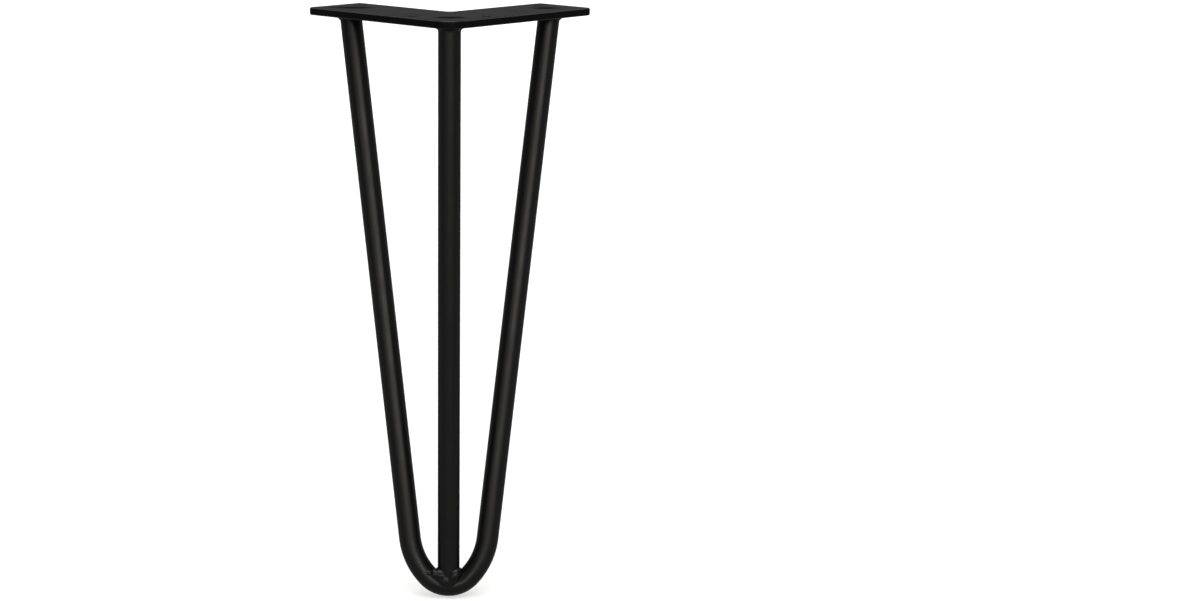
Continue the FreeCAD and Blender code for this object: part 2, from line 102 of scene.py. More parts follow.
class ShaderTree:
    """Adds and joins the nodes of one material or world.

    A Mix node's colour sockets have the same names as its number sockets, so they are known by their places.
    """

    MIX_FACTOR = 0
    MIX_FIRST_COLOUR = 6
    MIX_SECOND_COLOUR = 7
    MIX_COLOUR_RESULT = 2

    def __init__(self, owner: bpy.types.ID) -> None:
        """Start with an empty tree.

        Args:
            owner: the material or world that the nodes belong to.
        """
        owner.use_nodes = True
        self.tree = owner.node_tree
        self.tree.nodes.clear()

    def add(self, kind: str, inputs: dict | None = None, **settings: object) -> bpy.types.Node:
        """Add a node.

        Args:
            kind: the node's type name.
            inputs: a value or an output socket for each named or numbered input.
            settings: the node's own options.

        Returns:
            The new node.
        """
        node = self.tree.nodes.new(kind)
        for name, value in settings.items():
            setattr(node, name, value)
        for name, value in (inputs or {}).items():
            if isinstance(value, bpy.types.NodeSocket):
                self.tree.links.new(value, node.inputs[name])
            else:
                node.inputs[name].default_value = value
        return node

    def maths(self, operation: str, *values: object) -> bpy.types.NodeSocket:
        """Add a Math node.

        Args:
            operation: the node's operation.
            values: numbers or output sockets, in the order of its inputs.

        Returns:
            Its output.
        """
        return self.add("ShaderNodeMath", dict(enumerate(values)), operation=operation).outputs[0]

    def length(self, vector: bpy.types.NodeSocket) -> bpy.types.NodeSocket:
        """Add the length of a vector and return its output."""
        return self.add("ShaderNodeVectorMath", {0: vector}, operation="LENGTH").outputs["Value"]

    def ramp(
        self, value: object, low: float, high: float, start: float = 0.0, end: float = 1.0
    ) -> bpy.types.NodeSocket:
        """Add a smooth step from start to end while a value goes from low to high.

        Args:
            value: the output socket to read.
            low: the value at which the step starts.
            high: the value at which it ends.
            start: the result below low.
            end: the result above high.

        Returns:
            Its output.
        """
        limits = {"Value": value, "From Min": low, "From Max": high, "To Min": start, "To Max": end}
        return self.add("ShaderNodeMapRange", limits, interpolation_type="SMOOTHSTEP").outputs["Result"]

    def mix(self, factor: bpy.types.NodeSocket, first: object, second: object) -> bpy.types.NodeSocket:
        """Mix two numbers.

        Args:
            factor: 0 for the first number and 1 for the second.
            first: a number or an output socket.
            second: a number or an output socket.

        Returns:
            The mixed number's output.
        """
        inputs = {"Factor": factor, "A": first, "B": second}
        return self.add("ShaderNodeMix", inputs, data_type="FLOAT").outputs["Result"]

    def mix_colours(
        self, factor: bpy.types.NodeSocket, first: Colour, second: Colour
    ) -> bpy.types.NodeSocket:
        """Mix two plain colours.

        Args:
            factor: 0 for the first colour and 1 for the second.
            first: the first colour.
            second: the second colour.

        Returns:
            The mixed colour's output.
        """
        inputs = {
            self.MIX_FACTOR: factor,
            self.MIX_FIRST_COLOUR: (*first, 1.0),
            self.MIX_SECOND_COLOUR: (*second, 1.0),
        }
        return self.add("ShaderNodeMix", inputs, data_type="RGBA").outputs[self.MIX_COLOUR_RESULT]


@dataclass(frozen=True)
class HeatMark:
    """A dull patch that a weld's heat leaves on the plate's top face, above the head of a bar."""

    place: tuple[float, float]
    half_width: float
    half_depth: float = 4.5 * MM
    rim: float = 1.15
    soft_edge: float = 0.4


@dataclass(frozen=True)
class PowderCoat:
    """Satin black powder coat: a near-black film with a soft peel and a finer grain."""

    name: str
    colour: Colour = (0.002, 0.002, 0.0021)
    worn_colour: Colour = (0.0012, 0.0012, 0.0012)
    worn_share: float = 0.25
    index: float = 1.5
    roughness: float = 0.36
    roughness_spread: float = 0.03
    dull_roughness: float = 0.8
    gloss: float = 0.5
    dull_gloss: float = 0.08
    patch_size: float = 18 * MM
    peel_size: float = 1.6 * MM
    peel_depth: float = 0.006 * MM
    grain_size: float = 0.35 * MM
    grain_depth: float = 0.0012 * MM
    mark_wander: float = 0.3
    mark_wander_size: float = 6 * MM
    heat_marks: tuple[HeatMark, ...] = ()

    def material(self) -> bpy.types.Material:
        """Build the coat as a material on Object coordinates."""
        material = bpy.data.materials.new(self.name)
        shader = ShaderTree(material)
        place = shader.add("ShaderNodeTexCoord").outputs["Object"]
        patches = self.noise(shader, place, self.patch_size, detail=3.0)
        peel = self.noise(shader, place, self.peel_size, detail=1.5)
        grain = self.noise(shader, place, self.grain_size, detail=2.0)
        least, most = self.roughness - self.roughness_spread, self.roughness + self.roughness_spread
        roughness = shader.ramp(patches, low=0.3, high=0.7, start=least, end=most)
        shade = shader.ramp(patches, low=0.35, high=0.65, start=0.0, end=self.worn_share)
        gloss: object = self.gloss
        dull = self.dullness(shader, place)
        if dull is not None:
            roughness = shader.mix(dull, roughness, self.dull_roughness)
            shade = shader.maths("MAXIMUM", shade, dull)
            gloss = shader.ramp(dull, low=0.0, high=1.0, start=self.gloss, end=self.dull_gloss)
        colour = shader.mix_colours(shade, self.colour, self.worn_colour)
        peeled = shader.add("ShaderNodeBump", {"Height": peel, "Distance": self.peel_depth})
        grained = shader.add(
            "ShaderNodeBump",
            {"Height": grain, "Distance": self.grain_depth, "Normal": peeled.outputs["Normal"]},
        )
        coat = shader.add(
            "ShaderNodeBsdfPrincipled",
            {
                "Base Color": colour, "Roughness": roughness, "IOR": self.index, "Specular IOR Level": gloss,
                "Normal": grained.outputs["Normal"],
            },
        )
        shader.add("ShaderNodeOutputMaterial", {"Surface": coat.outputs["BSDF"]})
        return material

    @staticmethod
    def noise(
        shader: ShaderTree, place: bpy.types.NodeSocket, size: float, detail: float
    ) -> bpy.types.NodeSocket:
        """Add a noise pattern.

        Args:
            shader: the tree to add to.
            place: the Object coordinates.
            size: the pattern's size, in metres.
            detail: how many finer layers it has.

        Returns:
            The pattern's output.
        """
        inputs = {"Vector": place, "Scale": 1 / size, "Detail": detail}
        return shader.add("ShaderNodeTexNoise", inputs).outputs[0]

    def dullness(self, shader: ShaderTree, place: bpy.types.NodeSocket) -> bpy.types.NodeSocket | None:
        """Join the heat marks into one factor.

        Args:
            shader: the tree to add to.
            place: the Object coordinates.

        Returns:
            The factor's socket, or None where the coat has no marks.
        """
        if not self.heat_marks:
            return None
        joined = None
        wander = self.noise(shader, place, self.mark_wander_size, detail=2.0)
        wander = shader.maths("MULTIPLY", wander, self.mark_wander)
        for mark in self.heat_marks:
            scale = (1 / mark.half_width, 1 / mark.half_depth, 0.0)
            centre = (-mark.place[0] * scale[0], -mark.place[1] * scale[1], 0.0)
            mapping = shader.add("ShaderNodeMapping", {"Vector": place, "Location": centre, "Scale": scale})
            away = shader.maths("ADD", shader.length(mapping.outputs[0]), wander)
            inside, outside = mark.rim - mark.soft_edge, mark.rim + mark.soft_edge
            factor = shader.ramp(away, inside, outside, start=1.0, end=0.0)
            joined = factor if joined is None else shader.maths("MAXIMUM", joined, factor)
        return joined


@dataclass(frozen=True)
class Layout:
    """Sizes and places that several pieces share, as in the CAD."""

    leg_height: float = 316 * MM
    plate_thickness: float = 4.2 * MM
    arm_length: float = 109.2 * MM
    arm_width: float = 38.5 * MM
    bar_end_inset: float = 13.3 * MM
    bar_diameter: float = 12 * MM
    foot_offset: float = 12.2 * MM
    bend_gap: float = 3.5 * MM
    bend_turn: float = math.radians(46.0)
    shoulder_radius: float = 37.3 * MM

    @property
    def bar_radius(self) -> float:
        """Radius of the coated bars."""
        return self.bar_diameter / 2

    @property
    def half_width(self) -> float:
        """Half the width of an arm of the plate."""
        return self.arm_width / 2

    @property
    def arm_reach(self) -> float:
        """From the origin to an arm's end, along its centreline."""
        return self.arm_length - self.half_width

    @property
    def bar_out(self) -> float:
        """X and Y of a side bar's head."""
        return (self.arm_reach - self.bar_end_inset) / math.sqrt(2)

    @property
    def foot(self) -> Vector:
        """Where the axes of the bend and the centre bar meet."""
        return Vector((0.0, -self.foot_offset, self.bar_radius - self.leg_height))

    @property
    def drop(self) -> float:
        """From the plate's underside down to the foot's axis."""
        return self.leg_height - self.bar_radius - self.plate_thickness

    @property
    def bend_radius(self) -> float:
        """Radius of the tight bend, at the bar's axis."""
        return self.bar_diameter + self.bend_gap

    @property
    def bend_tilt(self) -> float:
        """How far the plane of the bent bar leans back."""
        return math.atan2(self.bar_out + self.foot_offset, self.drop)

    @property
    def centre_tilt(self) -> float:
        """How far the centre bar leans back."""
        return math.atan2(self.foot_offset, self.drop)

    def shoulder(self) -> tuple[Vector, float]:
        """Work out the right shoulder, in the bent bar's own plane.

        Returns:
            Its centre, and the slope of the straight side above it.
        """
        offset = self.bend_radius - self.shoulder_radius
        centre = Vector((
            offset * math.sin(self.bend_turn), 0, self.bend_radius - offset * math.cos(self.bend_turn)
        ))
        height = math.hypot(self.bar_out + self.foot_offset, self.drop)
        away = Vector((self.bar_out - centre.x, 0, height - centre.z))
        side = math.atan2(away.z, away.x) + math.asin(self.shoulder_radius / away.length)
        return centre, side

    def side_lean(self, side: Side) -> tuple[float, float]:
        """How far a side bar goes along X and Y for each metre up."""
        slope = self.shoulder()[1]
        return side.value / (math.tan(slope) * math.cos(self.bend_tilt)), math.tan(self.bend_tilt)

    def from_foot(self, tilt: float) -> Matrix:
        """Place of a frame at the foot whose Z axis leans back by a tilt."""
        return Matrix.Translation(self.foot) @ Matrix.Rotation(-tilt, 4, "X")

    def saddle(self, across: float) -> float:
        """Height of the bend's surface above the foot's axis, where the wall of the centre bar meets it.

        Args:
            across: the place on the wall, along X.

        Returns:
            The height.
        """
        depth = self.bend_radius ** 2 - 2 * self.bend_radius * abs(across)
        return self.bend_radius - math.sqrt(depth)


def points_in(geometry: list) -> list[bmesh.types.BMVert]:
    """The points among what an operator made."""
    return [item for item in geometry if isinstance(item, bmesh.types.BMVert)]


def edges_in(geometry: list) -> list[bmesh.types.BMEdge]:
    """The edges among what an operator made."""
    return [item for item in geometry if isinstance(item, bmesh.types.BMEdge)]


def open_rim(bm: bmesh.types.BMesh, level: float, slack: float) -> list[bmesh.types.BMEdge]:
    """The open edges of a shape at one height.

    Args:
        bm: the shape.
        level: Z of the edges.
        slack: how far off that height a point may be.

    Returns:
        The edges.
    """
    return [
        edge for edge in bm.edges
        if edge.is_boundary and all(abs(vert.co.z - level) < slack for vert in edge.verts)
    ]


def finish_piece(
    bm: bmesh.types.BMesh, name: str, material: bpy.types.Material, node: str
) -> bpy.types.Object:
    """Turn a bmesh into a piece of the leg that stands for a CAD node.

    Args:
        bm: the finished shape, which is freed.
        name: the piece's name.
        material: its finish.
        node: the CAD node that it replaces.

    Returns:
        The new object.
    """
    bmesh.ops.recalc_face_normals(bm, faces=bm.faces)
    for face in bm.faces:
        face.smooth = True
    for edge in bm.edges:
        edge.smooth = edge.calc_face_angle(0.0) < CREASE
    mesh = bpy.data.meshes.new(name)
    bm.to_mesh(mesh)
    bm.free()
    piece = bpy.data.objects.new(name, mesh)
    bpy.context.scene.collection.objects.link(piece)
    mesh.materials.append(material)
    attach(piece, "root")
    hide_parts(node)
    log.info("%s: %d faces", name, len(mesh.polygons))
    return piece


def trim_under_plate(bm: bmesh.types.BMesh, level: float) -> None:
    """Cut a shape off flat at the plate's underside and close it there.

    Args:
        bm: the shape to cut.
        level: Z of the underside.
    """
    everything = [*bm.verts, *bm.edges, *bm.faces]
    bmesh.ops.bisect_plane(bm, geom=everything, plane_co=(0, 0, level), plane_no=(0, 0, 1), clear_outer=True)
    bmesh.ops.edgeloop_fill(bm, edges=open_rim(bm, level, LEVEL_SLACK))


@dataclass
class MountingPlate:
    """The L-shaped plate with rounded corners, softened edges and four screw holes.

    Faces whose normal has a Z below cut_below get the finish of the cut edges.
    """

    layout: Layout
    finish: PowderCoat
    cut_finish: PowderCoat
    cut_below: float = 0.45
    corner_radius: float = 12 * MM
    inner_radius: float = 2.5 * MM
    tip_radius: float = 2.5 * MM
    edge_round: float = 1 * MM
    hole_radius: float = 2.75 * MM
    hole_rim_round: float = 0.5 * MM
    near_hole_along: float = 35 * MM
    near_hole_edge: float = 8 * MM
    far_hole_end: float = 11.2 * MM
    far_hole_edge: float = 8.5 * MM
    corner_steps: int = 24
    small_corner_steps: int = 10
    rim_steps: int = 7
    hole_steps: int = 56
    flat_normal: float = 0.999
    most_rim_points: int = 8
    turn: Matrix = field(default_factory=lambda: Matrix.Rotation(math.radians(45.0), 4, "Z"))

    def build(self) -> bpy.types.Object:
        """Model the plate and dress it."""
        bm = bmesh.new()
        self.make_slab(bm)
        for place in self.hole_places():
            self.make_hole_wall(bm, place)
        self.close_flats(bm)
        plate = finish_piece(bm, "plate", self.finish.material(), "mounting_plate")
        plate.data.materials.append(self.cut_finish.material())
        for face in plate.data.polygons:
            face.material_index = int(abs(face.normal.z) < self.cut_below)
        weighting = plate.modifiers.new("even_shading", "WEIGHTED_NORMAL")
        weighting.mode = "FACE_AREA"
        weighting.weight = 100
        return plate

    def make_slab(self, bm: bmesh.types.BMesh) -> None:
        """Make the slab without its holes, and leave its two flats open.

        Args:
            bm: the bmesh to fill.
        """
        half, reach = self.layout.half_width, self.layout.arm_reach
        corners = [
            (-half, -half), (reach, -half), (reach, half), (half, half), (half, reach), (-half, reach),
        ]
        verts = [bm.verts.new((*corner, 0.0)) for corner in corners]
        bm.faces.new(verts)
        outer, inner, tips = verts[0], verts[3], [*verts[1:3], *verts[4:]]
        roundings = (
            ([outer], self.corner_radius, self.corner_steps),
            ([inner], self.inner_radius, self.small_corner_steps),
            (tips, self.tip_radius, self.small_corner_steps),
        )
        for chosen, radius, steps in roundings:
            bmesh.ops.bevel(
                bm, geom=chosen, offset=radius, offset_type="OFFSET", segments=steps,
                profile=ROUND_PROFILE, affect="VERTICES", material=-1,
            )
        bmesh.ops.rotate(bm, verts=bm.verts, matrix=self.turn.to_3x3())
        drawn = bmesh.ops.extrude_face_region(bm, geom=list(bm.faces))["geom"]
        bmesh.ops.translate(bm, verts=points_in(drawn), vec=(0, 0, -self.layout.plate_thickness))
        rims = [edge for edge in bm.edges if abs(edge.verts[0].co.z - edge.verts[1].co.z) < LEVEL_SLACK]
        bmesh.ops.bevel(
            bm, geom=rims, offset=self.edge_round, offset_type="OFFSET", segments=self.rim_steps,
            profile=ROUND_PROFILE, affect="EDGES", material=-1,
        )
        flats = [
            face for face in bm.faces
            if abs(face.normal.z) > self.flat_normal and len(face.verts) > self.most_rim_points
        ]
        bmesh.ops.delete(bm, geom=flats, context="FACES_ONLY")

    def hole_places(self) -> list[Vector]:
        """Centres of the four screw holes on the plate's top face."""
        half, reach = self.layout.half_width, self.layout.arm_reach
        near = (self.near_hole_along - half, self.near_hole_edge - half)
        far = (reach - self.far_hole_end, half - self.far_hole_edge)
        places = [near, near[::-1], far, far[::-1]]
        return [self.turn @ Vector((*place, 0.0)) for place in places]

    def make_hole_wall(self, bm: bmesh.types.BMesh, place: Vector) -> None:
        """Turn one screw hole's wall, with its softened rims.

        Args:
            bm: the bmesh to add to.
            place: the hole's centre on the top face.
        """
        soft, deep = self.hole_rim_round, self.layout.plate_thickness
        out = place + Vector((self.hole_radius + soft, 0, 0))
        start = bm.verts.new(out)
        profile: list = [start]
        profile += self.swing(bm, start, out - Vector((0, 0, soft)))
        lowest = min(points_in(profile), key=lambda vert: vert.co.z)
        run = bmesh.ops.extrude_vert_indiv(bm, verts=[lowest])
        profile += [*run["edges"], *run["verts"]]
        bmesh.ops.translate(bm, verts=run["verts"], vec=(0, 0, 2 * soft - deep))
        profile += self.swing(bm, run["verts"][0], out - Vector((0, 0, deep - soft)))
        bmesh.ops.spin(
            bm, geom=profile, cent=place, axis=(0, 0, 1), angle=math.tau, steps=self.hole_steps,
            use_merge=True, use_duplicate=False,
        )

    def swing(self, bm: bmesh.types.BMesh, start: bmesh.types.BMVert, centre: Vector) -> list:
        """Draw a quarter round from a point, round a line along Y.

        Args:
            bm: the bmesh to add to.
            start: the first point.
            centre: the middle of the round.

        Returns:
            The new edges and points.
        """
        before = set(bm.verts) | set(bm.edges)
        bmesh.ops.spin(
            bm, geom=[start], cent=centre, axis=(0, -1, 0), angle=QUARTER_TURN, steps=self.rim_steps,
            use_duplicate=False,
        )
        return [item for item in (*bm.verts, *bm.edges) if item not in before]

    def close_flats(self, bm: bmesh.types.BMesh) -> None:
        """Close the two flat faces round the holes."""
        bmesh.ops.remove_doubles(bm, verts=bm.verts, dist=MERGE_DISTANCE)
        for level in (0.0, -self.layout.plate_thickness):
            bmesh.ops.triangle_fill(bm, edges=open_rim(bm, level, MERGE_DISTANCE), use_beauty=True)


@dataclass
class BentBar:
    """The round bar bent into a U, whose two ends stand under the arms of the plate."""

    layout: Layout
    finish: PowderCoat
    section_steps: int = 72
    bend_steps: int = 24
    shoulder_steps: int = 28

    def build(self) -> bpy.types.Object:
        """Model the bar and dress it."""
        layout = self.layout
        bm = bmesh.new()
        upright = Matrix.Rotation(QUARTER_TURN, 4, "Y")
        bmesh.ops.create_circle(bm, segments=self.section_steps, radius=layout.bar_radius, matrix=upright)
        bend_centre = Vector((0, 0, layout.bend_radius))
        shoulder_centre, side = layout.shoulder()
        end = self.sweep(bm, list(bm.edges), bend_centre, layout.bend_turn, self.bend_steps)
        end = self.sweep(bm, end, shoulder_centre, side - layout.bend_turn, self.shoulder_steps)
        drawn = bmesh.ops.extrude_edge_only(bm, edges=end)["geom"]
        along = Vector((math.cos(side), 0, math.sin(side)))
        bmesh.ops.translate(bm, verts=points_in(drawn), vec=along * layout.leg_height)
        whole = [*bm.verts, *bm.edges, *bm.faces]
        bmesh.ops.mirror(bm, geom=whole, axis="X", merge_dist=MERGE_DISTANCE)
        bmesh.ops.transform(bm, matrix=layout.from_foot(layout.bend_tilt), verts=bm.verts)
        trim_under_plate(bm, -layout.plate_thickness)
        return finish_piece(bm, "bent_bar", self.finish.material(), "hairpin_rod")

    def sweep(self, bm: bmesh.types.BMesh, edges: list, centre: Vector, angle: float, steps: int) -> list:
        """Carry a ring of edges round a bend.

        Args:
            bm: the bmesh to add to.
            edges: the ring to carry.
            centre: the bend's centre, in the bar's own plane.
            angle: how far to turn.
            steps: how many faces long the bend is.

        Returns:
            The ring at the far end.
        """
        turned = bmesh.ops.spin(
            bm, geom=edges, cent=centre, axis=(0, -1, 0), angle=angle, steps=steps, use_duplicate=False
        )["geom_last"]
        return edges_in(turned)


@dataclass
class CentreBar:
    """The straight bar between the corner of the plate and the bend, coped to sit on the bend."""

    layout: Layout
    finish: PowderCoat
    section_steps: int = 72
    seat_overlap: float = 0.2 * MM

    def build(self) -> bpy.types.Object:
        """Model the bar and dress it."""
        layout = self.layout
        bm = bmesh.new()
        ring = bmesh.ops.create_circle(bm, segments=self.section_steps, radius=layout.bar_radius)["verts"]
        edges = list(bm.edges)
        drawn = bmesh.ops.extrude_edge_only(bm, edges=edges)["geom"]
        bmesh.ops.translate(bm, verts=points_in(drawn), vec=(0, 0, layout.leg_height))
        for vert in ring:
            seat = layout.saddle(vert.co.x) - self.seat_overlap
            bmesh.ops.translate(bm, verts=[vert], vec=(0, 0, seat))
        bmesh.ops.holes_fill(bm, edges=edges)
        bmesh.ops.transform(bm, matrix=layout.from_foot(layout.centre_tilt), verts=bm.verts)
        trim_under_plate(bm, -layout.plate_thickness)
        return finish_piece(bm, "centre_bar", self.finish.material(), "centre_rod")


@dataclass
class HeadWeld:
    """The weld with a hollow face that joins the head of a bar to the plate.

    It runs all the way round the bar. On a side bar its own axis stands a little outside the bar's axis,
    so that it is thickest on that side.
    """

    layout: Layout
    finish: PowderCoat
    name: str
    node: str
    head: tuple[float, float] = (0.0, 0.0)
    lean: tuple[float, float] = (0.0, 0.0)
    outwards: float = 0.0
    shift: float = 0.0
    reach: float = 5.6 * MM
    fall: float = 4.2 * MM
    hollow: float = 9 * MM
    root: float = 0.8 * MM
    overlap: float = 0.2 * MM
    thinnest: float = 0.03 * MM
    flat_share: float = 1e-3
    ripple_pitch: float = 1.5 * MM
    ripple_share: float = 0.16
    ripple_slant: float = 0.8
    ripple_sharpness: float = 1.4
    lump_size: float = 2.6 * MM
    lump_share: float = 0.14
    section_steps: int = 40
    step_length: float = 0.2 * MM

    @property
    def top_radius(self) -> float:
        """Radius of the weld's rim on the plate, round its own axis."""
        return self.layout.bar_radius + self.reach - self.shift

    def spread(self, turn: float) -> float:
        """How far the weld's rim stands out from the bar, at a turn round the bar."""
        across = self.shift * math.sin(turn)
        to_rim = self.shift * math.cos(turn) + math.sqrt(self.top_radius ** 2 - across ** 2)
        return to_rim - self.layout.bar_radius

    def depth(self, away: float) -> float:
        """How deep the hollow face lies below the plate, at a distance from the weld's own axis."""
        low_end = self.layout.bar_radius - self.root - self.shift
        across, chord = self.top_radius - low_end, math.hypot(self.top_radius - low_end, self.fall)
        to_centre = math.sqrt(self.hollow ** 2 - (chord / 2) ** 2)
        centre_x = (self.top_radius + low_end) / 2 + to_centre * self.fall / chord
        centre_z = -self.fall / 2 - to_centre * across / chord
        inside = self.hollow ** 2 - (min(away, self.top_radius) - centre_x) ** 2
        return -centre_z - math.sqrt(inside)

    def build(self) -> bpy.types.Object:
        """Model the weld and dress it."""
        bm = bmesh.new()
        radius = self.layout.bar_radius
        section = Matrix.Translation((radius, 0, 0)) @ Matrix.Rotation(QUARTER_TURN, 4, "X")
        size = radius / 2
        bmesh.ops.create_circle(bm, segments=self.section_steps, radius=size, matrix=section)
        bmesh.ops.rotate(bm, verts=bm.verts, matrix=Matrix.Rotation(-math.pi, 3, "Z"))
        bmesh.ops.spin(
            bm, geom=list(bm.edges), cent=(0, 0, 0), axis=(0, 0, 1), angle=math.tau,
            steps=round(math.tau * radius / self.step_length), use_merge=True, use_duplicate=False,
        )
        for vert in bm.verts:
            vert.co = self.on_section(vert.co, size)
        bmesh.ops.rotate(bm, verts=bm.verts, matrix=Matrix.Rotation(self.outwards, 3, "Z"))
        slant = Matrix.Identity(4)
        slant[0][2], slant[1][2] = self.lean
        middle = Matrix.Translation((*self.head, -self.layout.plate_thickness))
        bmesh.ops.transform(bm, matrix=middle @ slant, verts=bm.verts)
        return finish_piece(bm, self.name, self.finish.material(), self.node)

    def on_section(self, place: Vector, size: float) -> Vector:
        """Move a point of the plain ring to its place on the weld.

        Args:
            place: the point on a round section that was turned round the bar's axis.
            size: the radius of that round section.

        Returns:
            The upper half of the section laid flat on the plate, and the lower half laid on the hollow face.
        """
        radius, turn = self.layout.bar_radius, math.atan2(place.y, place.x)
        share = min(max((math.hypot(place.x, place.y) - radius) / size, -1.0), 1.0) / 2 + 0.5
        out = radius - self.overlap + share * (self.spread(turn) + self.overlap)
        away = math.hypot(out * math.cos(turn) - self.shift, out * math.sin(turn))
        drop = 0.0
        if place.z < -self.flat_share * size:
            drop = max(self.depth(away), self.thinnest) * self.unevenness(place, turn, share)
        return Vector((out * math.cos(turn), out * math.sin(turn), -drop))

    def unevenness(self, place: Vector, turn: float, share: float) -> float:
        """The crescents and lumps of a hand-laid weld, as a share of its depth.

        Args:
            place: a point that sets the lumps.
            turn: the point's turn round the bar.
            share: 0 at the bar and 1 at the weld's rim.

        Returns:
            At most 1, so that the weld doesn't grow.
        """
        run = turn * self.layout.bar_radius / self.ripple_pitch + self.ripple_slant * share
        crescent = 1 - abs(math.sin(math.pi * run)) ** self.ripple_sharpness
        lump = abs(noise.noise((place + Vector((*self.head, 0.0))) / self.lump_size))
        off_the_ends = math.sqrt(math.sin(math.pi * share))
        return 1 - (crescent * self.ripple_share + lump * self.lump_share) * off_the_ends


@dataclass(frozen=True)
class Puddle:
    """One pool of weld metal at the foot: an ellipsoid, turned by its roll as seen from the front."""

    place: tuple[float, float, float]
    half_sizes: tuple[float, float, float]
    roll: float = 0.0

    def matrix(self, frame: Matrix) -> Matrix:
        """Where a unit ball goes to become the pool.

        Args:
            frame: the frame that the pool's place is in.

        Returns:
            Its place, turn and size.
        """
        turn = Matrix.Rotation(math.radians(self.roll), 4, "Y")
        size = Matrix.Diagonal((*self.half_sizes, 1.0))
        return Matrix.Translation(frame @ Vector(self.place)) @ turn @ size


@dataclass
class FootBead:
    """The lumpy bead at the foot: a chain of pools round the joint, and larger ones in front.

    The tail's place is in the bent bar's frame at the foot, and the others' are in the centre bar's.
    """

    layout: Layout
    finish: PowderCoat
    chain_count: int = 36
    front_radius: float = 0.5 * MM
    back_radius: float = 1.5 * MM
    crotch_radius: float = 1.25 * MM
    least_rise: float = 3.4 * MM
    uneven_share: float = 0.12
    uneven_size: float = 3 * MM
    right_lump: Puddle = Puddle((2.7 * MM, -3.9 * MM, 6.6 * MM), (3.4 * MM, 3.2 * MM, 4.8 * MM), roll=35.0)
    left_lump: Puddle = Puddle((-4.3 * MM, -2.7 * MM, 6.6 * MM), (4.6 * MM, 3.5 * MM, 3.9 * MM), roll=10.0)
    left_end: Puddle = Puddle((-7.2 * MM, -3.1 * MM, 7.6 * MM), (3.2 * MM, 3.1 * MM, 2.8 * MM), roll=25.0)
    tail: Puddle = Puddle((-10.9 * MM, -4.3 * MM, 7.2 * MM), (2.4 * MM, 2.0 * MM, 1.9 * MM), roll=35.0)
    mound: Puddle = Puddle((-0.6 * MM, -1.15 * MM, 3.4 * MM), (8.6 * MM, 5.4 * MM, 6.6 * MM))
    ball_subdivisions: int = 4
    voxel: float = 0.18 * MM
    smoothing_passes: int = 10
    smoothing_factor: float = 0.5

    def build(self) -> bpy.types.Object:
        """Model the bead and dress it."""
        centre_frame = self.layout.from_foot(self.layout.centre_tilt)
        bend_frame = self.layout.from_foot(self.layout.bend_tilt)
        in_front = [(puddle, centre_frame) for puddle in (self.right_lump, self.left_lump, self.left_end)]
        pools = [*self.chain(centre_frame), *in_front, (self.tail, bend_frame), (self.mound, centre_frame)]
        bm = bmesh.new()
        for puddle, frame in pools:
            bmesh.ops.create_icosphere(
                bm, subdivisions=self.ball_subdivisions, radius=1.0, matrix=puddle.matrix(frame)
            )
        piece = finish_piece(bm, "foot_bead", self.finish.material(), "weld_foot")
        self.fuse(piece)
        log.info("foot_bead: %d faces once fused", len(piece.data.polygons))
        return piece

    def fuse(self, piece: bpy.types.Object) -> None:
        """Turn the pools into one closed skin and smooth it.

        Args:
            piece: the object whose mesh holds the pools.
        """
        fuse = piece.modifiers.new("fuse", "REMESH")
        fuse.mode = "VOXEL"
        fuse.voxel_size = self.voxel
        bpy.context.view_layer.update()
        evaluated = piece.evaluated_get(bpy.context.evaluated_depsgraph_get())
        fused = bmesh.new()
        fused.from_mesh(evaluated.to_mesh())
        evaluated.to_mesh_clear()
        piece.modifiers.clear()
        for _ in range(self.smoothing_passes):
            bmesh.ops.smooth_vert(
                fused, verts=fused.verts, factor=self.smoothing_factor,
                use_axis_x=True, use_axis_y=True, use_axis_z=True,
            )
        for face in fused.faces:
            face.smooth = True
        fused.to_mesh(piece.data)
        fused.free()

    def chain(self, frame: Matrix) -> list[tuple[Puddle, Matrix]]:
        """The small pools round the joint.

        Args:
            frame: the frame of the centre bar, at the foot.

        Returns:
            Each pool with the frame that its place is in.
        """
        layout, pools = self.layout, []
        for count in range(self.chain_count):
            turn = math.tau * (count + 0.5) / self.chain_count
            across, along = layout.bar_radius * math.cos(turn), layout.bar_radius * math.sin(turn)
            place = (across, along, math.hypot(layout.saddle(across), self.least_rise))
            uneven = 1 - self.uneven_share * abs(noise.noise(frame @ Vector(place) / self.uneven_size))
            side_radius = self.front_radius if along < 0 else self.back_radius
            radius = self.crotch_radius + (side_radius - self.crotch_radius) * abs(math.sin(turn))
            pools.append((Puddle(place, (radius * uneven,) * 3), frame))
        return pools


@dataclass(frozen=True)
class Softbox:
    """A rectangular studio lamp that faces the leg. Angles are in degrees and lengths in metres."""

    name: str
    azimuth: float
    elevation: float
    distance: float
    width: float
    height: float
    radiance: float
    colour: LampColour = LampColour.WHITE

    def place(self, target: Vector) -> None:
        """Hang the lamp.

        Args:
            target: the point that it faces. Azimuth 0 is in front of the leg, and 90 on its right.
        """
        turn, rise = math.radians(self.azimuth), math.radians(self.elevation)
        away = Vector((math.sin(turn) * math.cos(rise), -math.cos(turn) * math.cos(rise), math.sin(rise)))
        lamp = bpy.data.lights.new(self.name, "AREA")
        lamp.shape = "RECTANGLE"
        lamp.size, lamp.size_y = self.width, self.height
        lamp.energy = self.radiance * math.pi * self.width * self.height
        lamp.color = self.colour.value
        stand = bpy.data.objects.new(self.name, lamp)
        bpy.context.scene.collection.objects.link(stand)
        stand.location = target + away * self.distance
        stand.rotation_euler = (-away).to_track_quat("-Z", "Y").to_euler()


